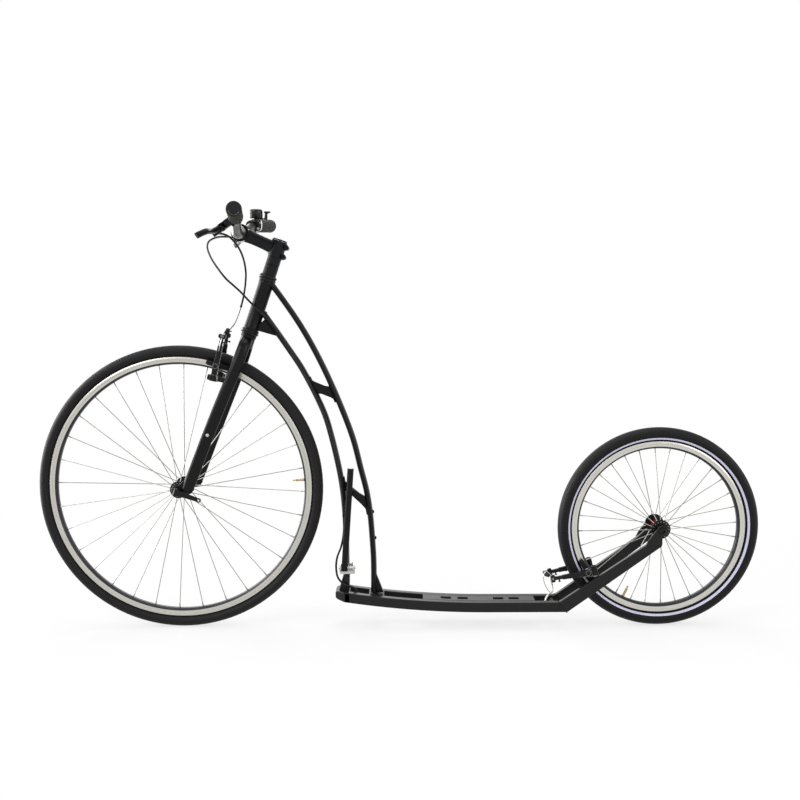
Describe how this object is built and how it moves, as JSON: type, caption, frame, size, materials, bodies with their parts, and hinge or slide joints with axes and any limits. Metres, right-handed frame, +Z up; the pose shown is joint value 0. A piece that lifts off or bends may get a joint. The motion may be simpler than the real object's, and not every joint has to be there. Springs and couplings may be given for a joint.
{
  "type": "kick bike",
  "caption": "Foot scooter with a large front wheel, a small rear wheel, a low deck on twin curved tubes, rim brakes, kickstand and bell.",
  "frame": {"origin": "on the floor, below the middle of the bike's length and on its middle plane", "axes": "+X towards the rear wheel, +Z up, -Y is the rider's left"},
  "size_m": [1.737, 0.6092, 1.0157],
  "materials": {
    "black_paint": "satin gloss black paint",
    "deck_sheet": "satin black paint",
    "gloss_black_alloy": "gloss black anodised",
    "black_anodised": "satin black anodised",
    "grey_alloy": "satin grey",
    "red_anodised": "red anodised",
    "rim_alloy": "machined braking track, dark lip",
    "bright_steel": "bright",
    "tyre_rubber": "matte near-black",
    "inner_tube_rubber": "matte black with brass valve",
    "grip_rubber": "matte dark grey",
    "pad_rubber": "matte black",
    "cable_plastic": "black housing",
    "black_plastic": "black"
  },
  "bodies": {
    "frame": {"head_tube": "black_paint", "headset_lower_cup": "gloss_black_alloy", "headset_upper_cup": "gloss_black_alloy", "front_frame_tube": "black_paint", "rear_frame_tube": "black_paint", "upper_strut": "black_paint", "lower_strut": "black_paint", "deck_frame": "black_paint", "deck_plate": "deck_sheet", "rear_arm_left": "black_paint", "rear_arm_right": "black_paint", "kickstand_bracket": "bright_steel", "kickstand_spring": "bright_steel", "rear_cable_housing": "cable_plastic", "rear_axle": "black_anodised"},
    "steering": {"fork": "black_paint", "spacer_lower": "gloss_black_alloy", "spacer_upper": "gloss_black_alloy", "stem": "black_anodised", "stem_faceplate": "black_anodised", "stem_top_cap": "gloss_black_alloy", "stem_bolt_lower": "black_anodised", "stem_bolt_upper": "black_anodised", "handlebar": "grey_alloy", "grip_left": "grip_rubber", "grip_right": "grip_rubber", "lever_body_left": "black_anodised", "lever_body_right": "black_anodised", "bell_base": "black_plastic", "bell_dome": "gloss_black_alloy", "front_cable_housing": "cable_plastic", "rear_cable_loop": "cable_plastic", "front_axle": "black_anodised"},
    "front_wheel": {"front_tyre": "tyre_rubber", "front_inner_tube": "inner_tube_rubber", "front_rim": "rim_alloy", "front_spokes_left": "bright_steel", "front_spokes_right": "bright_steel", "front_hub": "black_anodised"},
    "rear_wheel": {"rear_tyre": "tyre_rubber", "rear_inner_tube": "inner_tube_rubber", "rear_rim": "rim_alloy", "rear_spokes_left": "bright_steel", "rear_spokes_right": "bright_steel", "rear_hub": "red_anodised"},
    "left_lever": {"brake_lever_left": "black_anodised"},
    "right_lever": {"brake_lever_right": "black_anodised"},
    "front_left_brake": {"front_brake_arm_left": "black_anodised", "front_brake_pad_left": "pad_rubber"},
    "front_right_brake": {"front_brake_arm_right": "black_anodised", "front_brake_pad_right": "pad_rubber", "front_brake_noodle": "bright_steel"},
    "rear_left_brake": {"rear_brake_arm_left": "black_anodised", "rear_brake_pad_left": "pad_rubber"},
    "rear_right_brake": {"rear_brake_arm_right": "black_anodised", "rear_brake_pad_right": "pad_rubber", "rear_brake_noodle": "bright_steel"},
    "kickstand": {"kickstand_leg": "black_paint"},
    "bell_thumb_lever": {"bell_button": "black_plastic"},
    "quick_release": {"quick_release_lever": "black_anodised"}
  },
  "joints": [
    {"name": "steering", "type": "hinge", "parent": "frame", "child": "steering", "pos_m": [-0.48822, 0, 0.32994], "axis": [0.3305, 0, 0.9438], "range_deg": [-60, 60]},
    {"name": "front_wheel_spin", "type": "hinge", "parent": "steering", "child": "front_wheel", "pos_m": [-0.5255, 0, 0.343], "axis": [0, 1, 0], "continuous": true},
    {"name": "rear_wheel_spin", "type": "hinge", "parent": "frame", "child": "rear_wheel", "pos_m": [0.6265, 0, 0.242], "axis": [0, 1, 0], "continuous": true},
    {"name": "left_brake_lever", "type": "hinge", "parent": "steering", "child": "left_lever", "pos_m": [-0.38858, -0.1562, 0.9557], "axis": [-0.5519, 0, 0.8339], "range_deg": [0, 20], "stiffness_Nm_per_rad": 1, "springref_deg": -11.46},
    {"name": "right_brake_lever", "type": "hinge", "parent": "steering", "child": "right_lever", "pos_m": [-0.38858, 0.1562, 0.9557], "axis": [0.5519, 0, -0.8339], "range_deg": [0, 20], "stiffness_Nm_per_rad": 1, "springref_deg": -11.46},
    {"name": "front_left_brake_arm", "type": "hinge", "parent": "steering", "child": "front_left_brake", "pos_m": [-0.43543, -0.042, 0.61078], "axis": [-0.9744, 0, 0.225], "range_deg": [0, 2.45]},
    {"name": "front_right_brake_arm", "type": "hinge", "parent": "steering", "child": "front_right_brake", "pos_m": [-0.43543, 0.042, 0.61078], "axis": [0.9744, 0, -0.225], "range_deg": [0, 2.45]},
    {"name": "rear_left_brake_arm", "type": "hinge", "parent": "frame", "child": "rear_left_brake", "pos_m": [0.4685, -0.0385, 0.142], "axis": [0.2045, 0, -0.9789], "range_deg": [0, 2.45]},
    {"name": "rear_right_brake_arm", "type": "hinge", "parent": "frame", "child": "rear_right_brake", "pos_m": [0.4685, 0.0385, 0.142], "axis": [-0.2045, 0, 0.9789], "range_deg": [0, 2.45]},
    {"name": "kickstand_pivot", "type": "hinge", "parent": "frame", "child": "kickstand", "pos_m": [-0.1315, -0.027, 0.149], "axis": [1, 0, 0], "range_deg": [0, 118]},
    {"name": "bell_thumb_pivot", "type": "hinge", "parent": "steering", "child": "bell_thumb_lever", "pos_m": [-0.35104, 0.12963, 0.97371], "axis": [0, 0, 1], "range_deg": [0, 25], "stiffness_Nm_per_rad": 0.05, "springref_deg": -5.73},
    {"name": "quick_release_pivot", "type": "hinge", "parent": "steering", "child": "quick_release", "pos_m": [-0.5255, -0.0663, 0.343], "axis": [-0.3305, 0, -0.9438], "range_deg": [0, 180]}
  ],
  "couplings": [
    {"joint": "front_left_brake_arm", "follows": "left_brake_lever", "ratio": 0.12},
    {"joint": "front_right_brake_arm", "follows": "left_brake_lever", "ratio": 0.12},
    {"joint": "rear_left_brake_arm", "follows": "right_brake_lever", "ratio": 0.12},
    {"joint": "rear_right_brake_arm", "follows": "right_brake_lever", "ratio": 0.12}
  ]
}
